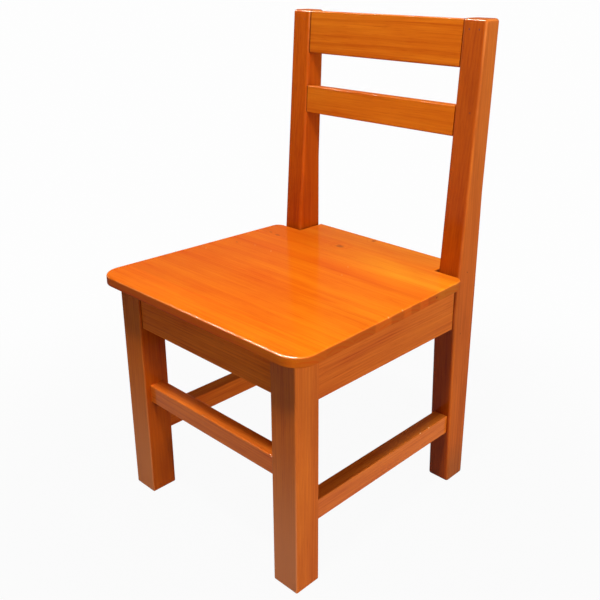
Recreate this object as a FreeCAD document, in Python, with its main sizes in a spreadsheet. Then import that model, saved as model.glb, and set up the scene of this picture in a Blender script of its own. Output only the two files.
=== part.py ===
"""Preschool chair: a glued wooden frame with mortise and tenon joints, a seat of edge-glued boards and a
back of two rails between leaning posts.

Millimetres. +Z is up, the front of the chair faces -Y, and +X is the right-hand side for someone who looks
at the front. The origin is on the floor, in the middle of the chair's width and depth.
"""
import FreeCAD, Part
import os
import Sketcher

# Driving dimensions: name, value, meaning
SIZES = (
    ("seat_height", 300, "top of the seat above the floor"),
    ("seat_width", 346, "seat from side to side at its front line, before the corners are rounded"),
    ("seat_rear_width", 325, "seat from side to side just ahead of the posts"),
    ("seat_thickness", 12, "thickness of the seat boards"),
    ("seat_overhang", 17, "front edge of the seat ahead of the front legs"),
    ("seat_front_corner", 26, "radius of the front corners in plan"),
    ("seat_rear_corner", 12, "radius of the corners just ahead of the posts"),
    ("seat_top_round", 2.2, "roundover along the top edges of the seat"),
    ("seat_under_round", 1.5, "easing along the bottom edges of the seat"),
    ("seat_board_count", 7, "full boards glued edge to edge, ahead of the posts"),
    ("notch_gap", 3, "room between the seat and a post"),
    ("frame_width", 305, "over the outer faces of legs and posts"),
    ("frame_depth", 320, "front face of the legs to the rear face of the posts"),
    ("leg_width", 37, "front legs from side to side"),
    ("leg_depth", 35, "front legs, front to back"),
    ("leg_round", 2, "eased edges of the front legs"),
    ("post_width", 31.5, "rear posts from side to side"),
    ("post_foot_depth", 34.5, "depth of a post at the floor"),
    ("post_knee_depth", 43, "depth of a post at its deepest point"),
    ("post_knee_height", 250, "height of the deepest point"),
    ("post_bend_height", 400, "height where the rear face starts to lean"),
    ("post_top_depth", 27.5, "depth of a post at its top"),
    ("back_lean", 8, "rear face of a post at the top behind the same face at the floor"),
    ("back_height", 598.5, "top of the posts above the floor"),
    ("post_round", 4, "eased edges of the rear posts"),
    ("front_apron_height", 51.5, "front apron, top to bottom"),
    ("rear_apron_height", 51.5, "rear apron, top to bottom"),
    ("side_apron_height", 59, "side aprons, top to bottom"),
    ("apron_thickness", 18, "aprons, outside to inside"),
    ("apron_recess", 3, "aprons behind the faces of legs and posts"),
    ("apron_round", 1, "eased lower edges of the aprons"),
    ("apron_tenon_thickness", 8, "apron tenons"),
    ("apron_tenon_shoulder", 6, "apron above and below its tenon"),
    ("apron_tenon_length", 15, "apron tenons past the shoulder"),
    ("stretcher_thickness", 20, "stretchers, outside to inside"),
    ("stretcher_round", 1.2, "eased edges of the stretchers"),
    ("front_stretcher_height", 23.5, "front stretcher, top to bottom"),
    ("front_stretcher_low", 132.5, "underside of the front stretcher"),
    ("side_stretcher_height", 25.5, "side stretchers, top to bottom"),
    ("side_stretcher_low", 76.5, "underside of the side stretchers"),
    ("side_stretcher_recess", 5, "side stretchers behind the outer faces"),
    ("stretcher_tenon_thickness", 10, "stretcher tenons"),
    ("stretcher_tenon_shoulder", 4, "stretcher above and below its tenon"),
    ("stretcher_tenon_length", 15, "stretcher tenons past the shoulder"),
    ("rail_thickness", 18, "crest and mid rail, front to back"),
    ("rail_recess", 1, "rails behind the leaning front faces of the posts"),
    ("rail_round", 2, "eased long edges of the rails"),
    ("crest_height", 54, "crest rail, top to bottom"),
    ("crest_drop", 0.5, "top of the crest rail below the top of the posts"),
    ("rail_gap", 43, "hand gap between the crest rail and the mid rail"),
    ("mid_height", 36, "mid rail, top to bottom"),
    ("rail_tenon_thickness", 8, "rail tenons"),
    ("rail_tenon_shoulder", 4, "rail above and below its tenon"),
    ("rail_tenon_length", 26, "rail tenons past the shoulder"),
    ("glue_gap", 0.1, "room for glue on each side of a tenon"),
    ("tenon_end_gap", 1, "room for glue at the end of a tenon"),
    ("block_height", 25, "corner blocks, top to bottom"),
    ("block_width", 30, "corner block along each apron"),
    ("block_leg_gap", 2, "corner block clear of the leg, summed along both aprons"),
    ("screw_diameter", 4, "shank of the screws"),
    ("screw_head_diameter", 8, "heads of the screws"),
    ("screw_head_height", 2.4, "heads of the screws"),
    ("screw_drive_length", 4.6, "arms of the cross in a head"),
    ("screw_drive_width", 1, "arms of the cross in a head"),
    ("screw_drive_depth", 1.4, "arms of the cross in a head"),
    ("screw_gap", 0.15, "room round a shank or a head"),
    ("screw_tip_gap", 1, "room past the tip of a screw or brad"),
    ("block_screw_grip", 9, "block between an apron and a screw head"),
    ("block_screw_bite", 13, "screw inside an apron"),
    ("seat_screw_grip", 15, "block between the seat and a screw head"),
    ("seat_screw_bite", 8.5, "screw inside the seat"),
    ("seat_screw_front", 22.5, "front seat screws behind the front apron"),
    ("seat_screw_rear", 12, "rear seat screws ahead of the rear apron"),
    ("brad_diameter", 1.6, "shank of the brads that lock the rail tenons"),
    ("brad_head_diameter", 2.2, "heads of the brads"),
    ("brad_head_height", 0.8, "heads of the brads"),
    ("brad_length", 17, "brads with their heads"),
    ("brad_gap", 0.05, "room round a brad"),
    ("brad_sink", 1.4, "filler over a brad head"),
    ("brad_inset", 9.3, "first brad from the inner face of a post"),
    ("brad_spacing", 13.3, "between the two brads at the crest rail"),
    ("crest_brad_drop", 11.3, "brads below the top of the crest rail"),
    ("mid_brad_inset", 21.5, "mid rail brad from the inner face of a post"),
    ("mid_brad_drop", 6.3, "brad below the top of the mid rail"),
)

# Places worked out from the driving dimensions: name, formula
LAYOUT = (
    ("half_depth", "(Sizes.seat_overhang + Sizes.frame_depth + Sizes.back_lean) / 2"),
    ("frame_side", "Sizes.frame_width / 2"),
    ("leg_front", "Sizes.seat_overhang - half_depth"),
    ("leg_rear", "leg_front + Sizes.leg_depth"),
    ("leg_inner", "frame_side - Sizes.leg_width"),
    ("post_rear", "half_depth - Sizes.back_lean"),
    ("post_inner", "frame_side - Sizes.post_width"),
    ("foot_front", "post_rear - Sizes.post_foot_depth"),
    ("knee_front", "post_rear - Sizes.post_knee_depth"),
    ("top_front", "half_depth - Sizes.post_top_depth"),
    ("seat_under", "Sizes.seat_height - Sizes.seat_thickness"),
    # the leaning front face of a post runs from the knee to the top
    ("lean_run", "top_front - knee_front"),
    ("lean_rise", "Sizes.back_height - Sizes.post_knee_height"),
    ("lean_length", "sqrt(lean_run ^ 2 + lean_rise ^ 2)"),
    ("lean_angle", "atan2(lean_run; lean_rise)"),
    ("lean_sine", "lean_run / lean_length"),
    ("lean_cosine", "lean_rise / lean_length"),
    ("notch_inner", "post_inner - Sizes.notch_gap"),
    ("seat_knee_rise", "seat_under - Sizes.post_knee_height"),
    ("notch_front", "knee_front + seat_knee_rise * lean_run / lean_rise - Sizes.notch_gap"),
    ("board_width", "(notch_front + half_depth) / Sizes.seat_board_count"),
    ("tab_width", "post_rear - notch_front"),
    ("front_apron_low", "seat_under - Sizes.front_apron_height"),
    ("rear_apron_low", "seat_under - Sizes.rear_apron_height"),
    ("side_apron_low", "seat_under - Sizes.side_apron_height"),
    ("front_apron_front", "leg_front + Sizes.apron_recess"),
    ("front_apron_inner", "front_apron_front + Sizes.apron_thickness"),
    ("rear_apron_inner", "post_rear - Sizes.apron_recess - Sizes.apron_thickness"),
    ("side_apron_inner", "frame_side - Sizes.apron_recess - Sizes.apron_thickness"),
    ("front_stretcher_front", "leg_front + (Sizes.leg_depth - Sizes.stretcher_thickness) / 2"),
    ("side_stretcher_inner", "frame_side - Sizes.side_stretcher_recess - Sizes.stretcher_thickness"),
    ("side_stretcher_top", "Sizes.side_stretcher_low + Sizes.side_stretcher_height"),
    ("foot_slope", "(foot_front - knee_front) / Sizes.post_knee_height"),
    ("side_stretcher_end", "foot_front - foot_slope * side_stretcher_top"),
    ("crest_top", "lean_length - Sizes.crest_drop"),
    ("crest_low", "crest_top - Sizes.crest_height"),
    ("mid_top", "crest_low - Sizes.rail_gap"),
    ("mid_low", "mid_top - Sizes.mid_height"),
    # a corner block is a bar across the corner, measured along each apron from where the aprons would meet
    ("leg_corner", "side_apron_inner - leg_inner + leg_rear - front_apron_inner"),
    ("front_block_start", "leg_corner + Sizes.block_leg_gap"),
    ("front_block_end", "front_block_start + Sizes.block_width"),
    ("front_block_middle", "front_block_start + Sizes.block_width / 2"),
    ("post_corner", "side_apron_inner - post_inner + rear_apron_inner - knee_front"),
    ("rear_block_start", "post_corner + Sizes.block_leg_gap"),
    ("rear_block_end", "rear_block_start + Sizes.block_width"),
    ("rear_block_middle", "rear_block_start + Sizes.block_width / 2"),
    ("block_low", "seat_under - Sizes.block_height"),
    ("block_screw_level", "seat_under - Sizes.block_height / 2"),
    ("front_screw_x", "side_apron_inner - front_block_middle"),
    ("rear_screw_x", "side_apron_inner - rear_block_middle"),
    ("front_screw_y", "front_apron_inner + front_block_middle"),
    ("rear_screw_y", "rear_apron_inner - rear_block_middle"),
    ("front_seat_screw_x", "side_apron_inner - front_block_middle + Sizes.seat_screw_front"),
    ("front_seat_screw_y", "front_apron_inner + Sizes.seat_screw_front"),
    ("rear_seat_screw_x", "side_apron_inner - rear_block_middle + Sizes.seat_screw_rear"),
    ("rear_seat_screw_y", "rear_apron_inner - Sizes.seat_screw_rear"),
    ("shank_hole", "Sizes.screw_diameter + 2 * Sizes.screw_gap"),
    ("head_hole", "Sizes.screw_head_diameter + 2 * Sizes.screw_gap"),
    ("brad_hole", "Sizes.brad_diameter + 2 * Sizes.brad_gap"),
    ("brad_mouth", "Sizes.brad_head_diameter + 2 * Sizes.brad_gap"),
)

# Room beyond the seat panel for the slabs that part it into boards
SLAB_MARGIN = 10.0
# Edges are told apart from others by this much
NEAR = 0.01

X_AXIS = FreeCAD.Vector(1, 0, 0)
Y_AXIS = FreeCAD.Vector(0, 1, 0)
Z_AXIS = FreeCAD.Vector(0, 0, 1)

doc = FreeCAD.newDocument("PreschoolChair")


def make_sheet(name, rows):
    """A sheet of named cells, filled from rows of name, content and an optional meaning."""
    sheet = doc.addObject("Spreadsheet::Sheet", name)
    for number, (alias, content, *meaning) in enumerate(rows, start=1):
        sheet.set(f"A{number}", str(content))
        sheet.setAlias(f"A{number}", alias)
        sheet.set(f"B{number}", meaning[0] if meaning else alias)
    doc.recompute()
    return sheet


sizes = make_sheet("Sizes", SIZES)
layout = make_sheet("Layout", [(alias, "=" + formula) for alias, formula in LAYOUT])


def make_body(label):
    body = doc.addObject("PartDesign::Body", label)
    body.Label = label
    return body


def attach(sketch, body, plane, level, lean_axis=None):
    """Put a sketch on one of the body's origin planes, moved by level along the plane's normal.

    With lean_axis the sketch is turned by the lean of the back, about the foot of the leaning front face.
    """
    support = next(item for item in body.Origin.OriginFeatures if item.Role == plane)
    sketch.AttachmentSupport = [(support, "")]
    sketch.MapMode = "FlatFace"
    if lean_axis is None:
        sketch.setExpression(".AttachmentOffset.Base.z", level)
        return
    sketch.AttachmentOffset = FreeCAD.Placement(FreeCAD.Vector(), FreeCAD.Rotation(lean_axis, 1))
    sketch.setExpression(".AttachmentOffset.Rotation.Angle", "Layout.lean_angle")
    sketch.setExpression(".AttachmentOffset.Base.y", "Sizes.post_knee_height")
    if plane == "YZ_Plane":
        sketch.setExpression(".AttachmentOffset.Base.x", "Layout.knee_front")
        sketch.setExpression(".AttachmentOffset.Base.z", level)
    else:
        sketch.setExpression(".AttachmentOffset.Base.z", f"-Layout.knee_front - ({level})")


def bind_point(sketch, geometry, end, across, up):
    """Tie one point of a sketch to a pair of formulas."""
    for kind, formula in (("DistanceX", across), ("DistanceY", up)):
        index = sketch.addConstraint(Sketcher.Constraint(kind, -1, 1, geometry, end, 0.0))
        sketch.setExpression(f"Constraints[{index}]", formula)


def polygon(body, name, plane, points, level="0", lean_axis=None):
    """A closed outline whose corners are pairs of formulas."""
    sketch = body.newObject("Sketcher::SketchObject", name)
    attach(sketch, body, plane, level, lean_axis)
    places = [tuple(float(sketch.evalExpression(formula)) for formula in point) for point in points]
    count = len(points)
    for start, end in zip(places, places[1:] + places[:1]):
        line = Part.LineSegment(FreeCAD.Vector(*start, 0), FreeCAD.Vector(*end, 0))
        sketch.addGeometry(line, False)
    for index in range(count):
        sketch.addConstraint(Sketcher.Constraint("Coincident", index, 2, (index + 1) % count, 1))
    for index, (across, up) in enumerate(points):
        bind_point(sketch, index, 1, across, up)
    return sketch


def rectangle(body, name, plane, left, low, width, height, level="0", lean_axis=None):
    right = f"{left} + {width}"
    high = f"{low} + {height}"
    corners = [(left, low), (right, low), (right, high), (left, high)]
    return polygon(body, name, plane, corners, level, lean_axis)


def circles(body, name, plane, centres, diameter, level="0", lean_axis=None):
    """A sketch of equal circles whose centres are pairs of formulas."""
    sketch = body.newObject("Sketcher::SketchObject", name)
    attach(sketch, body, plane, level, lean_axis)
    for index, (across, up) in enumerate(centres):
        place = FreeCAD.Vector(sketch.evalExpression(across), sketch.evalExpression(up), 0)
        radius = float(sketch.evalExpression(diameter)) / 2
        sketch.addGeometry(Part.Circle(place, Z_AXIS, radius), False)
        bind_point(sketch, index, 3, across, up)
        size = sketch.addConstraint(Sketcher.Constraint("Diameter", index, 2 * radius))
        sketch.setExpression(f"Constraints[{size}]", diameter)
    return sketch


def pad(body, sketch, length, side="One side", reverse=False):
    feature = body.newObject("PartDesign::Pad", sketch.Name + "_pad")
    feature.Profile = sketch
    feature.SideType = side
    feature.Reversed = reverse
    feature.setExpression("Length", length)
    doc.recompute()
    return feature


def pocket(body, sketch, length, reverse=False):
    """Cut a sketch into the body and make sure that it took wood away."""
    before = body.Shape.Volume
    feature = body.newObject("PartDesign::Pocket", sketch.Name + "_cut")
    feature.Profile = sketch
    feature.Reversed = reverse
    feature.setExpression("Length", length)
    doc.recompute()
    if feature.Shape.Volume >= before:
        raise RuntimeError(f"{feature.Name} cuts nothing")
    return feature


def fillet(body, name, radius, chosen):
    """Round every edge of the body for which chosen(start, end) holds."""
    base = body.Tip
    names = []
    for number, edge in enumerate(base.Shape.Edges, start=1):
        ends = [vertex.Point for vertex in edge.Vertexes]
        if chosen(ends[0], ends[-1]):
            names.append(f"Edge{number}")
    feature = body.newObject("PartDesign::Fillet", name)
    feature.Base = (base, names)
    feature.setExpression("Radius", radius)
    doc.recompute()
    return feature


def along_x(start, end):
    return abs(start.x - end.x) > NEAR and abs(start.y - end.y) < NEAR and abs(start.z - end.z) < NEAR


def along_y(start, end):
    return abs(start.y - end.y) > NEAR and abs(start.x - end.x) < NEAR and abs(start.z - end.z) < NEAR


def along_z(start, end):
    return abs(start.z - end.z) > NEAR and abs(start.x - end.x) < NEAR and abs(start.y - end.y) < NEAR


def at_level(start, end, level):
    return abs(start.z - level) < NEAR and abs(end.z - level) < NEAR


class Stock:
    """The section of a rail and of the tenons at its two ends, as formulas.

    Rails across the chair are drawn in Y and Z, rails at its sides in X and Z, and the rails of the back in
    depth behind the leaning front face and distance up that face.
    """

    def __init__(self, name, plane, left, low, thickness, height, tenon, leaning=False):
        self.name = name
        self.plane = plane
        self.left = left
        self.low = low
        self.thickness = thickness
        self.height = height
        self.tenon_left = f"{left} + ({thickness} - Sizes.{tenon}_tenon_thickness) / 2"
        self.tenon_low = f"{low} + Sizes.{tenon}_tenon_shoulder"
        self.tenon_thickness = f"Sizes.{tenon}_tenon_thickness"
        self.tenon_height = f"{height} - 2 * Sizes.{tenon}_tenon_shoulder"
        self.tenon_length = f"Sizes.{tenon}_tenon_length"
        self.lean_axis = -Z_AXIS if leaning else None

    def section(self, body, level="0"):
        return rectangle(body, self.name + "_section", self.plane, self.left, self.low,
                         self.thickness, self.height, level, self.lean_axis)

    def tenon(self, body, level="0"):
        return rectangle(body, self.name + "_tenon", self.plane, self.tenon_left, self.tenon_low,
                         self.tenon_thickness, self.tenon_height, level, self.lean_axis)

    def mortise(self, body, level, reverse):
        """Cut the tenon, with room for glue, into a leg or post from the plane at level."""
        sketch = rectangle(body, self.name + "_mortise", self.plane,
                           f"{self.tenon_left} - Sizes.glue_gap", f"{self.tenon_low} - Sizes.glue_gap",
                           f"{self.tenon_thickness} + 2 * Sizes.glue_gap",
                           f"{self.tenon_height} + 2 * Sizes.glue_gap", level, self.lean_axis)
        return pocket(body, sketch, f"{self.tenon_length} + Sizes.tenon_end_gap", reverse)


FRONT_APRON = Stock("front_apron", "YZ_Plane", "Layout.front_apron_front", "Layout.front_apron_low",
                    "Sizes.apron_thickness", "Sizes.front_apron_height", "apron")
REAR_APRON = Stock("rear_apron", "YZ_Plane", "Layout.rear_apron_inner", "Layout.rear_apron_low",
                   "Sizes.apron_thickness", "Sizes.rear_apron_height", "apron")
SIDE_APRON = Stock("side_apron", "XZ_Plane", "Layout.side_apron_inner", "Layout.side_apron_low",
                   "Sizes.apron_thickness", "Sizes.side_apron_height", "apron")
FRONT_STRETCHER = Stock("front_stretcher", "YZ_Plane", "Layout.front_stretcher_front",
                        "Sizes.front_stretcher_low", "Sizes.stretcher_thickness",
                        "Sizes.front_stretcher_height", "stretcher")
SIDE_STRETCHER = Stock("side_stretcher", "XZ_Plane", "Layout.side_stretcher_inner",
                       "Sizes.side_stretcher_low", "Sizes.stretcher_thickness",
                       "Sizes.side_stretcher_height", "stretcher")
CREST_RAIL = Stock("crest_rail", "YZ_Plane", "Sizes.rail_recess", "Layout.crest_low",
                   "Sizes.rail_thickness", "Sizes.crest_height", "rail", leaning=True)
MID_RAIL = Stock("mid_rail", "YZ_Plane", "Sizes.rail_recess", "Layout.mid_low",
                 "Sizes.rail_thickness", "Sizes.mid_height", "rail", leaning=True)

# Brads on the right post: distance from the middle of the chair and distance up the leaning face
CREST_BRADS = (
    ("Layout.post_inner + Sizes.brad_inset", "Layout.crest_top - Sizes.crest_brad_drop"),
    ("Layout.post_inner + Sizes.brad_inset + Sizes.brad_spacing", "Layout.crest_top - Sizes.crest_brad_drop"),
)
MID_BRADS = (
    ("Layout.post_inner + Sizes.mid_brad_inset", "Layout.mid_top - Sizes.mid_brad_drop"),
)
BRAD_DEPTH = "Sizes.brad_sink + Sizes.brad_length + Sizes.screw_tip_gap"


def mirrored(source, label):
    """The left-hand twin of a right-hand piece."""
    twin = doc.addObject("Part::Mirroring", label)
    twin.Label = label
    twin.Source = source
    twin.Normal = X_AXIS
    return twin


def both_sides(formula_pairs):
    """Centres on the right, followed by the same centres on the left."""
    return list(formula_pairs) + [(f"-({across})", up) for across, up in formula_pairs]


def front_leg():
    """Straight leg with mortises for two aprons and two stretchers."""
    body = make_body("front_leg_right")
    square = rectangle(body, "leg_square", "XY_Plane", "Layout.leg_inner", "Layout.leg_front",
                       "Sizes.leg_width", "Sizes.leg_depth")
    pad(body, square, "Layout.seat_under")
    fillet(body, "leg_easing", "Sizes.leg_round",
           lambda start, end: along_z(start, end) or at_level(start, end, 0.0))
    FRONT_APRON.mortise(body, "Layout.leg_inner", reverse=True)
    FRONT_STRETCHER.mortise(body, "Layout.leg_inner", reverse=True)
    SIDE_APRON.mortise(body, "-Layout.leg_rear", reverse=True)
    SIDE_STRETCHER.mortise(body, "-Layout.leg_rear", reverse=True)
    return body


def rear_post():
    """Leg and back upright in one, deepest at the knee under the seat and leaning back above it."""
    body = make_body("rear_post_right")
    outline = polygon(body, "post_outline", "YZ_Plane", [
        ("Layout.foot_front", "0"),
        ("Layout.post_rear", "0"),
        ("Layout.post_rear", "Sizes.post_bend_height"),
        ("Layout.half_depth", "Sizes.back_height"),
        ("Layout.top_front", "Sizes.back_height"),
        ("Layout.knee_front", "Sizes.post_knee_height"),
    ], "Layout.post_inner")
    pad(body, outline, "Sizes.post_width")
    top = float(sizes.back_height)

    def outer_edge(start, end):
        at_ends = at_level(start, end, 0.0) or at_level(start, end, top)
        return at_ends or not along_x(start, end)

    fillet(body, "post_easing", "Sizes.post_round", outer_edge)
    REAR_APRON.mortise(body, "Layout.post_inner", reverse=True)
    CREST_RAIL.mortise(body, "Layout.post_inner", reverse=True)
    MID_RAIL.mortise(body, "Layout.post_inner", reverse=True)
    SIDE_APRON.mortise(body, "-Layout.knee_front", reverse=False)
    SIDE_STRETCHER.mortise(body, "-Layout.side_stretcher_end", reverse=False)
    brads = CREST_BRADS + MID_BRADS
    mouths = circles(body, "brad_mouths", "XZ_Plane", brads, "Layout.brad_mouth", lean_axis=-X_AXIS)
    pocket(body, mouths, "Sizes.brad_sink + Sizes.brad_head_height")
    holes = circles(body, "brad_holes", "XZ_Plane", brads, "Layout.brad_hole", lean_axis=-X_AXIS)
    pocket(body, holes, BRAD_DEPTH)
    return body


def cross_rail(label, stock, shoulder, radius, rounded):
    """A rail across the chair, with its shoulders at plus and minus shoulder."""
    body = make_body(label)
    pad(body, stock.section(body), f"2 * {shoulder}", "Symmetric")
    fillet(body, stock.name + "_easing", radius, rounded)
    pad(body, stock.tenon(body), f"2 * ({shoulder} + {stock.tenon_length})", "Symmetric")
    return body


def side_rail(label, stock, rear_shoulder, radius, rounded):
    """A rail from a front leg to a rear post."""
    body = make_body(label)
    front = "Layout.leg_rear"
    pad(body, stock.section(body, f"-{front}"), f"{rear_shoulder} - {front}", reverse=True)
    fillet(body, stock.name + "_easing", radius, rounded)
    tenon = stock.tenon(body, f"{stock.tenon_length} - {front}")
    pad(body, tenon, f"{rear_shoulder} - {front} + 2 * {stock.tenon_length}", reverse=True)
    return body


def aprons():
    """The four rails under the seat, with pilot holes for the screws of the corner blocks."""
    pilot = "Sizes.block_screw_bite + Sizes.screw_tip_gap"
    level = "Layout.block_screw_level"

    def front_edge(start, end):
        return along_x(start, end) and at_level(start, end, float(layout.front_apron_low))

    def rear_edge(start, end):
        return along_x(start, end) and at_level(start, end, float(layout.rear_apron_low))

    def side_edge(start, end):
        return along_y(start, end) and at_level(start, end, float(layout.side_apron_low))

    front = cross_rail("front_apron", FRONT_APRON, "Layout.leg_inner", "Sizes.apron_round", front_edge)
    holes = circles(front, "front_pilots", "XZ_Plane", both_sides([("Layout.front_screw_x", level)]),
                    "Layout.shank_hole", "-Layout.front_apron_inner")
    pocket(front, holes, pilot, reverse=True)

    rear = cross_rail("rear_apron", REAR_APRON, "Layout.post_inner", "Sizes.apron_round", rear_edge)
    holes = circles(rear, "rear_pilots", "XZ_Plane", both_sides([("Layout.rear_screw_x", level)]),
                    "Layout.shank_hole", "-Layout.rear_apron_inner")
    pocket(rear, holes, pilot)

    side = side_rail("side_apron_right", SIDE_APRON, "Layout.knee_front", "Sizes.apron_round", side_edge)
    centres = [("Layout.front_screw_y", level), ("Layout.rear_screw_y", level)]
    holes = circles(side, "side_pilots", "YZ_Plane", centres, "Layout.shank_hole", "Layout.side_apron_inner")
    pocket(side, holes, pilot, reverse=True)
    return [front, rear, side, mirrored(side, "side_apron_left")]


def stretchers():
    radius = "Sizes.stretcher_round"
    front = cross_rail("front_stretcher", FRONT_STRETCHER, "Layout.leg_inner", radius, along_x)
    side = side_rail("side_stretcher_right", SIDE_STRETCHER, "Layout.side_stretcher_end", radius, along_y)
    return [front, side, mirrored(side, "side_stretcher_left")]


def back_rails():
    """The crest rail and the mid rail, drilled for the brads that lock their tenons."""
    rails = []
    for stock, brads in ((CREST_RAIL, CREST_BRADS), (MID_RAIL, MID_BRADS)):
        body = cross_rail(stock.name, stock, "Layout.post_inner", "Sizes.rail_round", along_x)
        holes = circles(body, stock.name + "_holes", "XZ_Plane", both_sides(brads), "Layout.brad_hole",
                        lean_axis=-X_AXIS)
        pocket(body, holes, BRAD_DEPTH)
        rails.append(body)
    return rails


def seat_panel():
    """The whole glued seat, narrower at the rear, with rounded corners, post notches and pilot holes."""
    body = make_body("seat_panel")
    right = [
        ("Sizes.seat_width / 2", "-Layout.half_depth"),
        ("Sizes.seat_rear_width / 2", "Layout.notch_front"),
        ("Layout.notch_inner", "Layout.notch_front"),
        ("Layout.notch_inner", "Layout.post_rear"),
    ]
    left = [(f"-{across}", up) for across, up in reversed(right)]
    outline = polygon(body, "seat_outline", "XY_Plane", right + left, "Layout.seat_under")
    pad(body, outline, "Sizes.seat_thickness")
    front = -float(layout.half_depth)
    rear_side = float(sizes.seat_rear_width) / 2
    top = float(sizes.seat_height)
    under = float(layout.seat_under)

    def front_corner(start, end):
        return along_z(start, end) and abs(start.y - front) < NEAR

    def rear_corner(start, end):
        return along_z(start, end) and abs(start.y - front) > NEAR and abs(abs(start.x) - rear_side) < NEAR

    fillet(body, "front_corners", "Sizes.seat_front_corner", front_corner)
    fillet(body, "rear_corners", "Sizes.seat_rear_corner", rear_corner)
    fillet(body, "top_roundover", "Sizes.seat_top_round", lambda start, end: at_level(start, end, top))
    fillet(body, "under_easing", "Sizes.seat_under_round", lambda start, end: at_level(start, end, under))
    screws = both_sides([
        ("Layout.front_seat_screw_x", "Layout.front_seat_screw_y"),
        ("Layout.rear_seat_screw_x", "Layout.rear_seat_screw_y"),
    ])
    pilots = circles(body, "seat_pilots", "XY_Plane", screws, "Layout.shank_hole", "Layout.seat_under")
    pocket(body, pilots, "Sizes.seat_screw_bite + Sizes.screw_tip_gap", reverse=True)
    return body


def seat_board(panel, label, front, width):
    """The part of the panel between two glue lines."""
    slab = doc.addObject("Part::Box", label + "_slab")
    half_length = f"(max(Sizes.seat_width; Sizes.seat_rear_width) / 2 + {SLAB_MARGIN})"
    slab.setExpression("Length", f"2 * {half_length}")
    slab.setExpression("Width", width)
    slab.setExpression("Height", f"Sizes.seat_thickness + 2 * {SLAB_MARGIN}")
    slab.setExpression(".Placement.Base.x", f"-{half_length}")
    slab.setExpression(".Placement.Base.y", front)
    slab.setExpression(".Placement.Base.z", f"Layout.seat_under - {SLAB_MARGIN}")
    board = doc.addObject("Part::Common", label)
    board.Label = label
    board.Base = panel
    board.Tool = slab
    return board


def seat_boards():
    """The seat as the boards it is glued from: full boards from the front, and the tab between the posts."""
    panel = seat_panel()
    boards = []
    for number in range(int(sizes.seat_board_count)):
        front = f"{number} * Layout.board_width - Layout.half_depth"
        boards.append(seat_board(panel, f"seat_board_{number + 1}", front, "Layout.board_width"))
    boards.append(seat_board(panel, "seat_tab", "Layout.notch_front", "Layout.tab_width"))
    return boards


def corner_block(label, end, outward):
    """A bar across one corner of the seat frame, drilled for two apron screws and one seat screw.

    outward is "-" where the apron lies towards the front and "+" where it lies towards the rear, so the block
    reaches from the apron towards the middle of the chair.
    """
    body = make_body(label)
    corner_x = "Layout.side_apron_inner"
    corner_y = f"Layout.{end}_apron_inner"
    inward = "+" if outward == "-" else "-"
    start = f"Layout.{end}_block_start"
    stop = f"Layout.{end}_block_end"
    plan = polygon(body, label + "_plan", "XY_Plane", [
        (f"{corner_x} - {stop}", corner_y),
        (f"{corner_x} - {start}", corner_y),
        (corner_x, f"{corner_y} {inward} {start}"),
        (corner_x, f"{corner_y} {inward} {stop}"),
    ], "Layout.block_low")
    pad(body, plan, "Sizes.block_height")

    # screw into the front or rear apron
    centre = [(f"Layout.{end}_screw_x", "Layout.block_screw_level")]
    hole = circles(body, label + "_apron_hole", "XZ_Plane", centre, "Layout.shank_hole", f"-{corner_y}")
    pocket(body, hole, "Sizes.block_width", reverse=outward == "+")
    seat = f"-({corner_y} {inward} Sizes.block_screw_grip)"
    sink = circles(body, label + "_apron_sink", "XZ_Plane", centre, "Layout.head_hole", seat)
    pocket(body, sink, "Sizes.block_width", reverse=outward == "+")

    # screw into the side apron
    centre = [(f"Layout.{end}_screw_y", "Layout.block_screw_level")]
    hole = circles(body, label + "_side_hole", "YZ_Plane", centre, "Layout.shank_hole", corner_x)
    pocket(body, hole, "Sizes.block_width")
    seat = f"{corner_x} - Sizes.block_screw_grip"
    sink = circles(body, label + "_side_sink", "YZ_Plane", centre, "Layout.head_hole", seat)
    pocket(body, sink, "Sizes.block_width")

    # screw up into the seat
    centre = [(f"Layout.{end}_seat_screw_x", f"Layout.{end}_seat_screw_y")]
    hole = circles(body, label + "_seat_hole", "XY_Plane", centre, "Layout.shank_hole", "Layout.seat_under")
    pocket(body, hole, "Sizes.block_height")
    seat = "Layout.seat_under - Sizes.seat_screw_grip"
    sink = circles(body, label + "_seat_sink", "XY_Plane", centre, "Layout.head_hole", seat)
    pocket(body, sink, "Sizes.block_height")
    return body


def place(item, centre, turn):
    """Put a solid at a point given as three formulas, turned by turn, an axis and an angle in degrees."""
    item.Placement = FreeCAD.Placement(FreeCAD.Vector(), FreeCAD.Rotation(*turn))
    for axis, formula in zip("xyz", centre):
        item.setExpression(f".Placement.Base.{axis}", formula)


def step_along(centre, direction, distance):
    """The point that lies distance along direction, a triple of -1, 0 and 1, from a point of formulas."""
    return [f"{formula} + ({sign}) * ({distance})" for formula, sign in zip(centre, direction)]


def cylinder(name, diameter, height, centre, turn):
    item = doc.addObject("Part::Cylinder", name)
    item.setExpression("Radius", f"({diameter}) / 2")
    item.setExpression("Height", height)
    place(item, centre, turn)
    return item


def drive_arm(name, length, width, seat, turn):
    """One arm of the cross in a screw head, centred on the axis and cut from the outer face of the head."""
    item = doc.addObject("Part::Box", name)
    item.setExpression("Length", length)
    item.setExpression("Width", width)
    item.setExpression("Height", "Sizes.screw_drive_depth")
    rotation = FreeCAD.Rotation(*turn)
    first = rotation.multVec(X_AXIS)
    second = rotation.multVec(Y_AXIS)
    item.Placement = FreeCAD.Placement(FreeCAD.Vector(), rotation)
    for axis, formula, along, across in zip("xyz", seat, first, second):
        shift = f"({round(along)}) * ({length}) / 2 + ({round(across)}) * ({width}) / 2"
        item.setExpression(f".Placement.Base.{axis}", f"{formula} - ({shift})")
    return item


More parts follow.
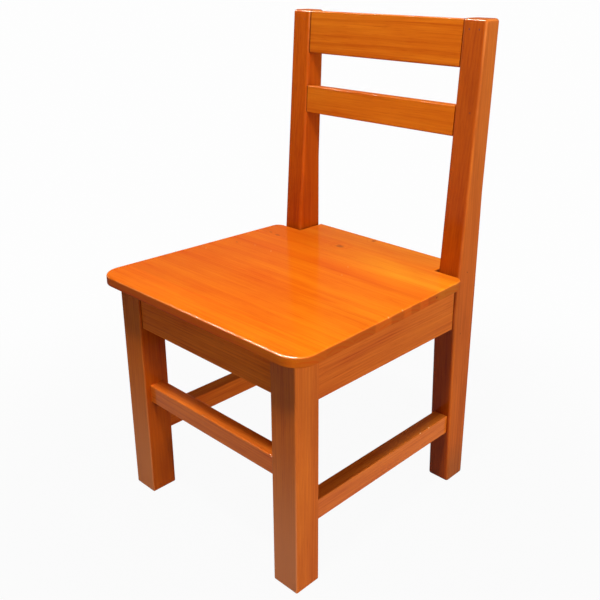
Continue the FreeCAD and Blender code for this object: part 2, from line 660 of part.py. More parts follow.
# The turn that points a screw's tip each way, with the direction itself
TO_FRONT = ((X_AXIS, 90), (0, -1, 0))
TO_REAR = ((X_AXIS, -90), (0, 1, 0))
TO_SIDE = ((Y_AXIS, 90), (1, 0, 0))
TO_SEAT = ((Z_AXIS, 0), (0, 0, 1))


def screw(name, seat, way, grip, bite):
    """A pan-head screw. seat is the point where its head bears, and its tip points the way given."""
    turn, direction = way
    shank = cylinder(name + "_shank", "Sizes.screw_diameter", f"{grip} + {bite}", seat, turn)
    outer = step_along(seat, direction, "-Sizes.screw_head_height")
    head = cylinder(name + "_head", "Sizes.screw_head_diameter", "Sizes.screw_head_height", outer, turn)
    whole = doc.addObject("Part::Fuse", name + "_blank")
    whole.Base = shank
    whole.Tool = head
    cross = doc.addObject("Part::Fuse", name + "_cross")
    length = "Sizes.screw_drive_length"
    width = "Sizes.screw_drive_width"
    cross.Base = drive_arm(name + "_first_arm", length, width, outer, turn)
    cross.Tool = drive_arm(name + "_second_arm", width, length, outer, turn)
    finished = doc.addObject("Part::Cut", name)
    finished.Base = whole
    finished.Tool = cross
    return finished


def group(label, right_pieces):
    """Loose pieces of one kind on the right, and their twins on the left, as one node."""
    right = doc.addObject("Part::Compound", label + "_right_set")
    right.Links = right_pieces
    left = mirrored(right, label + "_left_set")
    both = doc.addObject("Part::Compound", label)
    both.Label = label
    both.Links = [right, left]
    return both


def block_screws():
    """Two screws through each corner block into the aprons."""
    pieces = []
    level = "Layout.block_screw_level"
    grip = "Sizes.block_screw_grip"
    for end, way, inward in (("front", TO_FRONT, "+"), ("rear", TO_REAR, "-")):
        seat = (f"Layout.{end}_screw_x", f"Layout.{end}_apron_inner {inward} {grip}", level)
        pieces.append(screw(f"{end}_apron_screw", seat, way, grip, "Sizes.block_screw_bite"))
        seat = (f"Layout.side_apron_inner - {grip}", f"Layout.{end}_screw_y", level)
        pieces.append(screw(f"{end}_side_screw", seat, TO_SIDE, grip, "Sizes.block_screw_bite"))
    return group("block_screws", pieces)


def seat_screws():
    """One screw up through each corner block into the seat."""
    pieces = []
    grip = "Sizes.seat_screw_grip"
    for end in ("front", "rear"):
        seat = (f"Layout.{end}_seat_screw_x", f"Layout.{end}_seat_screw_y", f"Layout.seat_under - {grip}")
        pieces.append(screw(f"{end}_seat_screw", seat, TO_SEAT, grip, "Sizes.seat_screw_bite"))
    return group("seat_screws", pieces)


def behind_face(across, up, depth):
    """The point at a depth behind the leaning front face of a post."""
    return (
        across,
        f"Layout.knee_front + ({up}) * Layout.lean_sine + ({depth}) * Layout.lean_cosine",
        f"Sizes.post_knee_height + ({up}) * Layout.lean_cosine - ({depth}) * Layout.lean_sine",
    )


def leaning_cylinder(name, diameter, height, across, up, depth):
    """A cylinder that goes straight into the leaning front face of a post from a depth behind it."""
    item = cylinder(name, diameter, height, behind_face(across, up, depth), (-X_AXIS, 90))
    item.setExpression(".Placement.Rotation.Angle", "90 deg + Layout.lean_angle")
    return item


def brads_and_filler():
    """The brads that lock the rail tenons, and the filler over their sunk heads."""
    brads = []
    fillers = []
    for number, (across, up) in enumerate(CREST_BRADS + MID_BRADS, start=1):
        head = leaning_cylinder(f"brad_{number}_head", "Sizes.brad_head_diameter", "Sizes.brad_head_height",
                                across, up, "Sizes.brad_sink")
        shank = leaning_cylinder(f"brad_{number}_shank", "Sizes.brad_diameter", "Sizes.brad_length",
                                 across, up, "Sizes.brad_sink")
        brad = doc.addObject("Part::Fuse", f"brad_{number}")
        brad.Base = shank
        brad.Tool = head
        brads.append(brad)
        fillers.append(leaning_cylinder(f"filler_{number}", "Sizes.brad_head_diameter", "Sizes.brad_sink",
                                        across, up, "0"))
    return [group("rail_brads", brads), group("brad_filler", fillers)]


def build():
    leg = front_leg()
    post = rear_post()
    nodes = [leg, mirrored(leg, "front_leg_left"), post, mirrored(post, "rear_post_left")]
    nodes += aprons() + stretchers() + back_rails() + seat_boards()
    for end, outward in (("front", "-"), ("rear", "+")):
        block = corner_block(f"corner_block_{end}_right", end, outward)
        nodes += [block, mirrored(block, f"corner_block_{end}_left")]
    nodes += [block_screws(), seat_screws()] + brads_and_filler()
    doc.recompute()
    return nodes


def check(nodes):
    """Stop before anything is written if a feature failed or a solid is not sound."""
    for item in doc.Objects:
        if "Invalid" in item.State or "Error" in item.State:
            raise RuntimeError(f"{item.Name} failed: {item.State}")
    for node in nodes:
        if node.Shape.isNull() or not node.Shape.isValid() or not node.Shape.Solids:
            raise RuntimeError(f"{node.Label} is not a sound solid")


def write(nodes):
    os.makedirs("parts", exist_ok=True)
    for node in nodes:
        node.Shape.exportStep(f"parts/{node.Label}.step")
        print(f"{node.Label}: {len(node.Shape.Solids)} solids, {node.Shape.Volume / 1000:.2f} cm3")


chair = build()
check(chair)
write(chair)
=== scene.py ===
"""The looks of a wooden preschool chair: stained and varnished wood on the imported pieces, turned screws,
filled brad holes, a pale floor with soft light, and a camera at the photograph's viewing angle.

Metres. +Z is up, the front of the chair faces -Y, and +X is the right-hand side.
"""
import math

import bpy
from mathutils import Euler, Matrix, Vector


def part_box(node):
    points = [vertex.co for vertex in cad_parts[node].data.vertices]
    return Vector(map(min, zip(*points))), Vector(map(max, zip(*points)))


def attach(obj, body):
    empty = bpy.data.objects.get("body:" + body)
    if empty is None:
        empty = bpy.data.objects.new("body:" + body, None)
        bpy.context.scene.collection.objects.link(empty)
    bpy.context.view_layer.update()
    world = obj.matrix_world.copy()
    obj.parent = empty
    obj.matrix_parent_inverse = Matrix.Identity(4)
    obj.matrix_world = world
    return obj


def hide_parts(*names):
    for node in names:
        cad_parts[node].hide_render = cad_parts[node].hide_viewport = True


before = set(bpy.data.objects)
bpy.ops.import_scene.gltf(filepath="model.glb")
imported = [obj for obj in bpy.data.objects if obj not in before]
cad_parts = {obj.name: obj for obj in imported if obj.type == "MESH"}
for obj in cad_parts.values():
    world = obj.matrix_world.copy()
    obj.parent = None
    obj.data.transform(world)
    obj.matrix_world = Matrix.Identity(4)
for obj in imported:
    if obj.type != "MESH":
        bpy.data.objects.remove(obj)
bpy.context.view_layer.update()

X_AXIS = Vector((1, 0, 0))
Y_AXIS = Vector((0, 1, 0))
Z_AXIS = Vector((0, 0, 1))
# Axis numbers
X, Y, Z = 0, 1, 2

# Stains as linear red, green and blue: between the growth rings, in the rings, and on end grain
FRAME_STAIN = {"pale": (0.66, 0.154, 0.013), "dark": (0.40, 0.050, 0.004), "end": (0.42, 0.075, 0.006)}
POST_STAIN = {"pale": (0.68, 0.165, 0.016), "dark": (0.42, 0.074, 0.006), "end": (0.50, 0.100, 0.008)}
BACK_STAIN = {"pale": (0.69, 0.176, 0.008), "dark": (0.48, 0.070, 0.002), "end": (0.40, 0.070, 0.006)}
SEAT_STAIN = {"pale": (0.85, 0.188, 0.006), "dark": (0.72, 0.084, 0.002), "end": (0.70, 0.126, 0.007)}
BARE_WOOD = {"pale": (0.60, 0.400, 0.220), "dark": (0.42, 0.240, 0.110), "end": (0.40, 0.230, 0.110)}
KNOT_STAIN = (0.36, 0.060, 0.010)
CHIP_COLOUR = (0.90, 0.52, 0.20)
# pale colour of worn edges, which also paints highlights along rounded edges
WORN_AND_HIGHLIGHT_COLOUR = (0.92, 0.320, 0.075)
JOINT_COLOUR = (0.10, 0.014, 0.002)
# paler, hazier colour low on the front legs: a painted reflection of the pale floor
PAINTED_FLOOR_REFLECTION_COLOUR = (0.80, 0.265, 0.098)
FILLER_COLOUR = (0.110, 0.020, 0.004)
ZINC_COLOUR = (0.60, 0.60, 0.61)
# Tints of the seat as shares of red, green and blue: where stain took differently, with painted light on the
# right in the golden tint, painted shade on the left, and a painted reflection at the back
GOLDEN_AND_LIT_TINT = (1.10, 1.90, 2.50)
RED_TINT = (0.94, 0.72, 0.80)
# painted shade: darker on the left of the seat
LEFT_SHADE_TINT = (0.82, 0.66, 0.80)
FRONT_TINT = (1.08, 1.10, 0.90)
# painted reflection, with some real stain: paler and hazier at the back of the seat
REAR_REFLECTION_TINT = (0.97, 1.20, 2.40)
EDGE_TINT = (0.66, 0.60, 0.70)
PALE_END_TINT = (1.22, 1.26, 1.30)
# Tints of the posts: darker and redder on faces other than the outer side, painted shade low on the posts
# below the seat, and duller painted shade near the floor on the outer side of the foot
NOT_OUTER_POST_TINT = (0.75, 0.55, 0.20)
LOW_POST_SHADE_TINT = (0.90, 0.76, 0.70)
FOOT_SHADE_TINT = (0.74, 0.86, 1.40)
# Painted shade on the inner faces of the front legs and on the tops of the side stretchers
INNER_SHADE_TINT = (0.76, 0.58, 0.35)
STRETCHER_TOP_SHADE_TINT = (0.77, 0.80, 0.90)

NOISE_MIDDLE = 0.5
# Places of a colour mix node's factor and two colours among its inputs, and of its colour among its outputs
COLOUR_MIX_INPUTS = (0, 6, 7)
COLOUR_MIX_OUTPUT = 2


class Tree:
    """Adds nodes to one node tree. An input takes a number, a colour, a vector or another node's output."""

    def __init__(self, tree):
        self.tree = tree

    def add(self, kind, settings=None, inputs=None):
        item = self.tree.nodes.new(kind)
        for name, value in (settings or {}).items():
            setattr(item, name, value)
        for name, value in (inputs or {}).items():
            self.feed(item.inputs[name], value)
        return item

    def feed(self, socket, value):
        if isinstance(value, bpy.types.NodeSocket):
            self.tree.links.new(value, socket)
        elif socket.type == "RGBA":
            socket.default_value = (*value, 1.0)
        else:
            socket.default_value = value

    def maths(self, operation, *values):
        item = self.add("ShaderNodeMath", {"operation": operation}, dict(enumerate(values)))
        return item.outputs[0]

    def chain(self, operation, values):
        result = values[0]
        for value in values[1:]:
            result = self.maths(operation, result, value)
        return result

    def total(self, *values):
        return self.chain("ADD", values)

    def product(self, *values):
        return self.chain("MULTIPLY", values)

    def most(self, values):
        return self.chain("MAXIMUM", values)

    def at_least(self, least, value):
        """The least where the value is 0, rising to 1 where it is 1."""
        return self.total(least, self.product(value, 1.0 - least))

    def vector(self, operation, *values):
        item = self.add("ShaderNodeVectorMath", {"operation": operation}, dict(enumerate(values)))
        measured = operation in ("LENGTH", "DISTANCE", "DOT_PRODUCT")
        return item.outputs["Value" if measured else "Vector"]

    def split(self, value):
        return self.add("ShaderNodeSeparateXYZ", None, {0: value}).outputs

    def smooth(self, value, low, high):
        """0 at low and 1 at high, with a soft start and end."""
        item = self.add("ShaderNodeMapRange", {"interpolation_type": "SMOOTHSTEP"},
                        {"Value": value, "From Min": low, "From Max": high})
        return item.outputs["Result"]

    def band(self, value, start, full, ease, end):
        """1 from full to ease, and 0 before start and after end."""
        return self.product(self.smooth(value, start, full), self.smooth(value, end, ease))

    def noise(self, place, stretch, detail=2.0):
        """Noise about 0, finest across the axes with the largest stretch."""
        item = self.add("ShaderNodeTexNoise", None, {
            "Vector": self.vector("MULTIPLY", place, stretch),
            "Scale": 1.0,
            "Detail": detail,
        })
        return self.maths("SUBTRACT", item.outputs[0], NOISE_MIDDLE)

    def colour(self, factor, first, second, mode="MIX"):
        item = self.add("ShaderNodeMix", {"data_type": "RGBA", "blend_type": mode, "clamp_factor": True})
        for number, value in zip(COLOUR_MIX_INPUTS, (factor, first, second)):
            self.feed(item.inputs[number], value)
        return item.outputs[COLOUR_MIX_OUTPUT]

    def tint(self, share, colour, tint):
        """Scale a colour's channels, which keeps its grain."""
        return self.colour(share, colour, tint, "MULTIPLY")

    def surface(self, kind, shader):
        output = self.add(kind)
        self.feed(output.inputs["Surface"], shader)


def new_material(name):
    """A material without nodes, and what adds them."""
    material = bpy.data.materials.new(name)
    material.use_nodes = True
    material.node_tree.nodes.clear()
    return material, Tree(material.node_tree)


def new_group(name, kind, inputs, outputs):
    """An empty node group with named sockets, given as pairs of name and kind."""
    group = bpy.data.node_groups.new(name, kind)
    for label, socket in inputs:
        group.interface.new_socket(name=label, in_out="INPUT", socket_type="NodeSocket" + socket)
    for label, socket in outputs:
        group.interface.new_socket(name=label, in_out="OUTPUT", socket_type="NodeSocket" + socket)
    return group


# Patterns in wood: how fast each changes per metre, along the grain and twice across it
RING_DRIFT = (2.2, 16.0, 16.0)
RING_RIPPLE = (6.0, 160.0, 160.0)
FIBRES = (9.0, 420.0, 420.0)
FINE_FIBRES = (24.0, 1500.0, 1500.0)
STREAKS = (3.0, 75.0, 75.0)
STAIN_CLOUDS = (7.0, 18.0, 18.0)
FLECKS = (38.0, 520.0, 520.0)
PORES = (55.0, 1300.0, 1300.0)
FIBRE_DETAIL = 3.0
SPECK_DETAIL = 1.0
# How far rings wander across the grain, in metres, and ripple, in rings
DRIFT_REACH = (0.0, 0.022, 0.022)
RIPPLE_REACH = 0.35
ACROSS_GRAIN = (0.0, 1.0, 1.0)
# Parts of a year's growth over which a ring darkens, and pales again, and the faintest ring
RING_RISE = (0.30, 0.90)
RING_FALL = (1.0, 0.92)
FAINTEST_RING = 0.25
# Noise at which flecks and pores start and are full
FLECK_RANGE = (0.10, 0.26)
PORE_RANGE = (0.13, 0.24)
# Shares of the patterns in the tone, which goes from pale at 0 to dark at 1
BASE_TONE = 0.30
FINE_SHARE = 0.7
STREAK_SHARE = 0.8
FLECK_SHARE = 0.22
PORE_SHARE = 0.25
END_RING_SHARE = 0.7
# Shares of the patterns in the surface's height, and in the roughness under the varnish
FIBRE_RELIEF = 0.6
RING_RELIEF = 0.35
PORE_RELIEF = -0.5
BASE_ROUGHNESS = 0.34
CLOUD_ROUGHNESS = 0.14
FIBRE_ROUGHNESS = 0.10


def wood_grain_group():
    """Solid wood: growth rings round the X axis, with fibres, pores and clouds of stain along it."""
    group = new_group("wood_grain", "ShaderNodeTree", [
        ("Place", "Vector"), ("Ring spacing", "Float"), ("Ring depth", "Float"), ("Fibre depth", "Float"),
        ("Cloud depth", "Float"), ("Pale", "Color"), ("Dark", "Color"), ("End stain", "Color"),
        ("End face", "Float"), ("Lift", "Float"),
    ], [("Colour", "Color"), ("Roughness", "Float"), ("Height", "Float")])
    tree = Tree(group)
    given = group.nodes.new("NodeGroupInput").outputs
    place = given["Place"]

    # growth rings wander slowly along the board
    drift = tree.add("ShaderNodeTexNoise", None, {
        "Vector": tree.vector("MULTIPLY", place, RING_DRIFT), "Scale": 1.0, "Detail": SPECK_DETAIL,
    }).outputs[1]
    drift = tree.vector("SUBTRACT", drift, (NOISE_MIDDLE, NOISE_MIDDLE, NOISE_MIDDLE))
    drift = tree.vector("MULTIPLY", drift, DRIFT_REACH)
    from_pith = tree.vector("MULTIPLY", tree.vector("ADD", place, drift), ACROSS_GRAIN)
    radius = tree.total(tree.vector("LENGTH", from_pith), given["Lift"])
    ripple = tree.product(tree.noise(place, RING_RIPPLE), RIPPLE_REACH)
    count = tree.total(tree.maths("DIVIDE", radius, given["Ring spacing"]), ripple)
    phase = tree.maths("FRACT", count)
    year = tree.add("ShaderNodeTexWhiteNoise", {"noise_dimensions": "1D"},
                    {"W": tree.maths("FLOOR", count)}).outputs[0]
    ring = tree.product(tree.smooth(phase, *RING_RISE), tree.smooth(phase, *RING_FALL),
                        tree.total(year, FAINTEST_RING))

    fibre = tree.noise(place, FIBRES, FIBRE_DETAIL)
    fine = tree.noise(place, FINE_FIBRES)
    streak = tree.noise(place, STREAKS)
    cloud = tree.noise(place, STAIN_CLOUDS)
    fleck = tree.smooth(tree.noise(place, FLECKS, SPECK_DETAIL), *FLECK_RANGE)
    pore = tree.smooth(tree.noise(place, PORES, SPECK_DETAIL), *PORE_RANGE)

    fibres = tree.total(fibre, tree.product(fine, FINE_SHARE), tree.product(streak, STREAK_SHARE))
    tone = tree.total(
        BASE_TONE,
        tree.product(ring, given["Ring depth"]),
        tree.product(fibres, given["Fibre depth"]),
        tree.product(cloud, given["Cloud depth"]),
        tree.product(fleck, FLECK_SHARE),
        tree.product(pore, PORE_SHARE),
    )
    colour = tree.colour(tone, given["Pale"], given["Dark"])
    end_tone = tree.colour(tree.product(ring, END_RING_SHARE), given["End stain"], given["Dark"])
    height = tree.total(tree.product(fibre, FIBRE_RELIEF), tree.product(ring, RING_RELIEF),
                        tree.product(pore, PORE_RELIEF))
    roughness = tree.total(BASE_ROUGHNESS, tree.product(cloud, CLOUD_ROUGHNESS),
                           tree.product(fibre, FIBRE_ROUGHNESS))
    result = tree.add("NodeGroupOutput")
    tree.feed(result.inputs["Colour"], tree.colour(given["End face"], colour, end_tone))
    tree.feed(result.inputs["Roughness"], roughness)
    tree.feed(result.inputs["Height"], height)
    return group


WOOD_GRAIN = wood_grain_group()

# Each grain direction, and the turn that lays it along X
GRAIN_TURNS = {
    "across": (X_AXIS, Euler((0, 0, 0))),
    "front to back": (Y_AXIS, Euler((0, 0, -math.pi / 2))),
    "upright": (Z_AXIS, Euler((0, math.pi / 2, 0))),
    "diagonal": (Vector((1, 1, 0)).normalized(), Euler((0, 0, -math.pi / 4))),
    "other diagonal": (Vector((1, -1, 0)).normalized(), Euler((0, 0, math.pi / 4))),
}


def shaded(colour, shade):
    return tuple(channel * shade for channel in colour)


def tinted(colour, tint):
    return tuple(channel * share for channel, share in zip(colour, tint))


# Where a knot's core and the grain bent round it end and are full, in knot sizes from its middle
KNOT_CORE = (1.0, 0.35)
KNOT_HALO = (3.4, 0.6)
KNOT_WOBBLE = (160.0, 160.0, 0.0)
# Solid part of a round mark's radius and of a joint line's half width
MARK_CORE = 0.3
LINE_CORE = 0.4


def knot_marks(tree, place, knots):
    """Masks for the cores of knots on the seat and for the grain that bends round them."""
    cores = []
    halos = []
    wobble = tree.noise(place, KNOT_WOBBLE)
    for across, back, length, width in knots:
        offset = tree.vector("SUBTRACT", place, (across, back, 0.0))
        flat = tree.vector("MULTIPLY", offset, (1.0 / length, 1.0 / width, 0.0))
        distance = tree.total(tree.vector("LENGTH", flat), wobble)
        cores.append(tree.smooth(distance, *KNOT_CORE))
        halos.append(tree.smooth(distance, *KNOT_HALO))
    return tree.most(cores), tree.most(halos)


def spots(tree, place, marks):
    """A mask for small round marks: centre and radius each."""
    masks = []
    for centre, radius in marks:
        masks.append(tree.smooth(tree.vector("DISTANCE", place, centre), radius, MARK_CORE * radius))
    return tree.most(masks)


def joint_lines(tree, place, joints):
    """A mask for dark lines along joints: axis number, place on it and half width each."""
    along = tree.split(place)
    masks = []
    for axis, value, width in joints:
        distance = tree.maths("ABSOLUTE", tree.maths("SUBTRACT", along[axis], value))
        masks.append(tree.smooth(distance, width, LINE_CORE * width))
    return tree.most(masks)


# Where wear is absent and where it is full, in noise, in metres, or in the share of a surface that faces
# one way. Four numbers add where it eases and where it is gone again.
WEAR_PATCHES = (60.0, 60.0, 60.0)
WEAR_DETAIL = 3.0
EDGE_FACING = (0.97, 0.84)
EDGE_PATCHES = (-0.26, 0.06)
HANDLED_HEIGHT = (0.53, 0.60)
LEAST_HANDLED = 0.15
SEAT_EDGE_FACING = (0.20, 0.45, 0.80, 0.96)
SEAT_EDGE_PATCHES = (-0.22, 0.08)
SEAT_FRONT_FACING = (-0.1, -0.5)
SEAT_CORNER_ACROSS = (0.08, 0.14)
# Wear of the seat's other edges against its front edge, and of its front edge against the right corner
LEAST_BEHIND = 0.12
LEAST_ALONG = 0.55


def wear_patches(tree, place, patches):
    return tree.smooth(tree.noise(place, WEAR_PATCHES, WEAR_DETAIL), *patches)


def edge_wear_and_highlight(tree, place, facing):
    """A patchy mask on rounded edges, where a surface faces along no axis, most at the top of the back: wear
    that is also a painted highlight.
    """
    rounded = tree.smooth(tree.most(tree.split(tree.vector("ABSOLUTE", facing))), *EDGE_FACING)
    handled = tree.at_least(LEAST_HANDLED, tree.smooth(tree.split(place)[Z], *HANDLED_HEIGHT))
    return tree.product(rounded, wear_patches(tree, place, EDGE_PATCHES), handled)


def seat_edge_wear_and_highlight(tree, place, facing):
    """A patchy mask on the rounded top edge of the seat, most along its front and at the right corner: wear
    that is also a painted highlight.
    """
    _, ahead, up = tree.split(facing)
    rounded = tree.band(up, *SEAT_EDGE_FACING)
    front = tree.at_least(LEAST_BEHIND, tree.smooth(ahead, *SEAT_FRONT_FACING))
    handled = tree.at_least(LEAST_ALONG, tree.smooth(tree.split(place)[X], *SEAT_CORNER_ACROSS))
    return tree.product(rounded, front, wear_patches(tree, place, SEAT_EDGE_PATCHES), handled)


# Zones of the seat in the same form, across it or from front to back, with the share of each tint
GOLDEN_BACK = (0.052, 0.072, 0.100, 0.118)
GOLDEN_ACROSS = (-0.09, 0.12)
GOLDEN_SHARE = 0.70
# painted light: yellower towards the right of the seat
PAINTED_LIGHT_ACROSS = (0.02, 0.17)
PAINTED_LIGHT_SHARE = 0.20
# painted shade: darker towards the left of the seat
LEFT_SHADE_ACROSS = (0.06, -0.17)
LEFT_SHADE_SHARE = 0.40
# painted reflection, with some real stain: paler towards the back of the seat
REAR_REFLECTION_BACK = (0.095, 0.150)
REAR_REFLECTION_SHARE = 0.80
RED_BACK = (0.028, 0.037, 0.044, 0.054)
RED_SHARE = 0.50
FRONT_BACK = (-0.126, -0.136)
FRONT_SHARE = 0.60
SEAT_SIDE_FACING = (0.75, 0.15)
SEAT_END_FACING = (0.3, 0.8)
# Paler fields of end grain on the seat's right edge: from and to, front to back
PALE_ENDS = ((-0.055, -0.022), (-0.004, 0.015), (0.027, 0.048))
FIELD_EASE = 0.005


def seat_tones(tree, place, facing, colour):
    """Stain that took differently over the glued seat, and darker on its edges, with painted light on the
    right, painted shade on the left and a painted reflection, partly stain, at the back.
    """
    across, back, _ = tree.split(place)
    sideways, _, up = tree.split(facing)
    golden = tree.product(tree.band(back, *GOLDEN_BACK), tree.smooth(across, *GOLDEN_ACROSS), GOLDEN_SHARE)
    painted_light = tree.product(tree.smooth(across, *PAINTED_LIGHT_ACROSS), PAINTED_LIGHT_SHARE)
    fields = []
    for first, last in PALE_ENDS:
        fields.append(tree.band(back, first, first + FIELD_EASE, last - FIELD_EASE, last))
    tints = (
        (tree.product(tree.smooth(across, *LEFT_SHADE_ACROSS), LEFT_SHADE_SHARE), LEFT_SHADE_TINT),
        (tree.most([golden, painted_light]), GOLDEN_AND_LIT_TINT),
        (tree.product(tree.smooth(back, *REAR_REFLECTION_BACK), REAR_REFLECTION_SHARE), REAR_REFLECTION_TINT),
        (tree.product(tree.band(back, *RED_BACK), RED_SHARE), RED_TINT),
        (tree.product(tree.smooth(back, *FRONT_BACK), FRONT_SHARE), FRONT_TINT),
        (tree.smooth(up, *SEAT_SIDE_FACING), EDGE_TINT),
        (tree.product(tree.most(fields), tree.smooth(sideways, *SEAT_END_FACING)), PALE_END_TINT),
    )
    for share, tint in tints:
        colour = tree.tint(share, colour, tint)
    return colour


# Where the tints of legs, posts and stretchers are absent and where they are full
INNER_FACING = (-0.4, -0.9)
LEG_FRONT_FACING = (-0.3, -0.9)
# painted reflection of the floor, low on the front of a leg
FLOOR_REFLECTION_HEIGHT = (0.22, 0.03)
FLOOR_REFLECTION_SHARE = 0.72
OUTER_FACING = (0.4, 0.9)
NOT_OUTER_FACING = (0.9, 0.4)
BELOW_TOP_FACING = (0.9, 0.5)
# painted shade low on the posts, full below the seat
LOW_POST_SHADE_HEIGHT = (0.52, 0.28)
# painted shade near the floor on the outer side of a post's foot
FOOT_SHADE_HEIGHT = (0.070, 0.015)
STRETCHER_TOP_FACING = (0.4, 0.9)


def facing_outwards(tree, place, facing):
    """How far a surface faces away from the middle of the chair, sideways."""
    return tree.product(tree.split(facing)[X], tree.maths("SIGN", tree.split(place)[X]))


def leg_tones(tree, place, facing, colour):
    """Painted shade on the inner face of a leg, and a paler, hazier painted reflection of the floor low on
    its front.
    """
    outwards = facing_outwards(tree, place, facing)
    # painted shade on the inner face of a leg
    colour = tree.tint(tree.smooth(outwards, *INNER_FACING), colour, INNER_SHADE_TINT)
    front = tree.smooth(tree.split(facing)[Y], *LEG_FRONT_FACING)
    floor_reflection = tree.product(tree.smooth(tree.split(place)[Z], *FLOOR_REFLECTION_HEIGHT), front, FLOOR_REFLECTION_SHARE)
    return tree.colour(floor_reflection, colour, PAINTED_FLOOR_REFLECTION_COLOUR)


def post_tones(tree, place, facing, colour):
    """Darker, redder on the faces of a post other than its outer side, with painted shade low down below the
    seat, and painted shade near the floor on the outer side of the foot."""
    outwards = facing_outwards(tree, place, facing)
    height = tree.split(place)[Z]
    below_top = tree.smooth(tree.split(facing)[Z], *BELOW_TOP_FACING)
    not_outer = tree.product(tree.smooth(outwards, *NOT_OUTER_FACING), below_top)
    colour = tree.tint(not_outer, colour, NOT_OUTER_POST_TINT)
    colour = tree.tint(tree.smooth(height, *LOW_POST_SHADE_HEIGHT), colour, LOW_POST_SHADE_TINT)
    foot_shade = tree.product(tree.smooth(height, *FOOT_SHADE_HEIGHT), tree.smooth(outwards, *OUTER_FACING))
    return tree.tint(foot_shade, colour, FOOT_SHADE_TINT)


def stretcher_top_shade(tree, place, facing, colour):
    """Painted shade on the top of a side stretcher, under the seat."""
    return tree.tint(tree.smooth(tree.split(facing)[Z], *STRETCHER_TOP_FACING), colour, STRETCHER_TOP_SHADE_TINT)


# How far apart the pieces lie along their tree, and how squarely end grain faces along it
TREE_STEP = 1.37
END_GRAIN_FACING = (0.55, 0.95)
# How far a knot pushes the grain aside, in rings, and how strongly marks cover the stain
KNOT_LIFT = 1.6
KNOT_SHARE = 0.75
LINE_SHARE = 0.8
MARK_SHARE = 0.7
# Relief of the grain: its height, and how much of it shows through varnish and on bare wood
GRAIN_RELIEF = 0.0006
VARNISHED_RELIEF = 0.10
BARE_RELIEF = 0.35
BARE_SHINE = 0.2
VARNISH_ROUGHNESS = 0.12
VARNISH_IOR = 1.5


def stained_wood(name, number, node, direction, stain, shade=1.0, pith=(0.02, 0.10), ring_spacing=0.004,
                 ring_depth=0.20, fibre_depth=1.0, cloud_depth=0.9, knots=(), chips=(), dots=(), joints=(),
                 wear=0.30, worn_and_highlit_edges=edge_wear_and_highlight, tones=None, varnish=0.30, edge_gloss=0.25):
    """Wood of one piece. pith is how far the piece lies from the middle of its tree, sideways and through,
    and edge_gloss is the extra weight of varnish on polished edges."""
    material, tree = new_material(name)
    grain, turn = GRAIN_TURNS[direction]
    low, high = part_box(node)
    centre = (low + high) / 2
    place = tree.add("ShaderNodeTexCoord").outputs["Object"]
    origin = Vector((number * TREE_STEP, *pith)) - turn.to_matrix() @ centre
    turned = tree.add("ShaderNodeMapping", None, {"Vector": place, "Location": origin, "Rotation": turn})
    facing = tree.add("ShaderNodeNewGeometry").outputs["Normal"]
    end_face = tree.maths("ABSOLUTE", tree.vector("DOT_PRODUCT", facing, grain))
    wood = tree.add("ShaderNodeGroup", {"node_tree": WOOD_GRAIN}, {
        "Place": turned.outputs[0],
        "Ring spacing": ring_spacing,
        "Ring depth": ring_depth,
        "Fibre depth": fibre_depth,
        "Cloud depth": cloud_depth,
        "Pale": shaded(stain["pale"], shade),
        "Dark": shaded(stain["dark"], shade),
        "End stain": shaded(stain["end"], shade),
        "End face": tree.smooth(end_face, *END_GRAIN_FACING),
    })
    colour = wood.outputs["Colour"]
    if tones:
        colour = tones(tree, place, facing, colour)
    if knots:
        core, halo = knot_marks(tree, place, knots)
        tree.feed(wood.inputs["Lift"], tree.product(halo, KNOT_LIFT * ring_spacing))
        colour = tree.colour(tree.product(core, KNOT_SHARE), colour, KNOT_STAIN)
    # pale worn colour on rounded edges, partly a painted highlight
    edges = worn_and_highlit_edges(tree, place, facing)
    colour = tree.colour(tree.product(edges, wear), colour, WORN_AND_HIGHLIGHT_COLOUR)
    if joints:
        lines = tree.product(joint_lines(tree, place, joints), LINE_SHARE)
        colour = tree.colour(lines, colour, JOINT_COLOUR)
    for marks, paint in ((dots, JOINT_COLOUR), (chips, CHIP_COLOUR)):
        if marks:
            colour = tree.colour(tree.product(spots(tree, place, marks), MARK_SHARE), colour, paint)
    gloss = varnish
    if wear and varnish:
        gloss = tree.total(varnish, tree.product(edges, edge_gloss))
    bump = tree.add("ShaderNodeBump", None, {
        "Strength": VARNISHED_RELIEF if varnish else BARE_RELIEF,
        "Distance": GRAIN_RELIEF,
        "Height": wood.outputs["Height"],
    })
    shader = tree.add("ShaderNodeBsdfPrincipled", None, {
        "Base Color": colour,
        "Roughness": wood.outputs["Roughness"],
        "Normal": bump.outputs[0],
        "IOR": VARNISH_IOR,
        "Specular IOR Level": 0.0 if varnish else BARE_SHINE,
        "Coat Weight": gloss,
        "Coat Roughness": VARNISH_ROUGHNESS,
        "Coat IOR": VARNISH_IOR,
    })
    tree.surface("ShaderNodeOutputMaterial", shader.outputs[0])
    return material


# Knots on the seat: place across and front to back, half length along the grain, half width
SEAT_KNOTS = (
    (-0.1228, 0.0821, 0.0055, 0.0030),
    (-0.1398, 0.0846, 0.0040, 0.0022),
    (-0.0285, 0.1078, 0.0085, 0.0058),
    (-0.1401, 0.0218, 0.0026, 0.0016),
    (-0.0100, 0.1558, 0.0040, 0.0050),
)
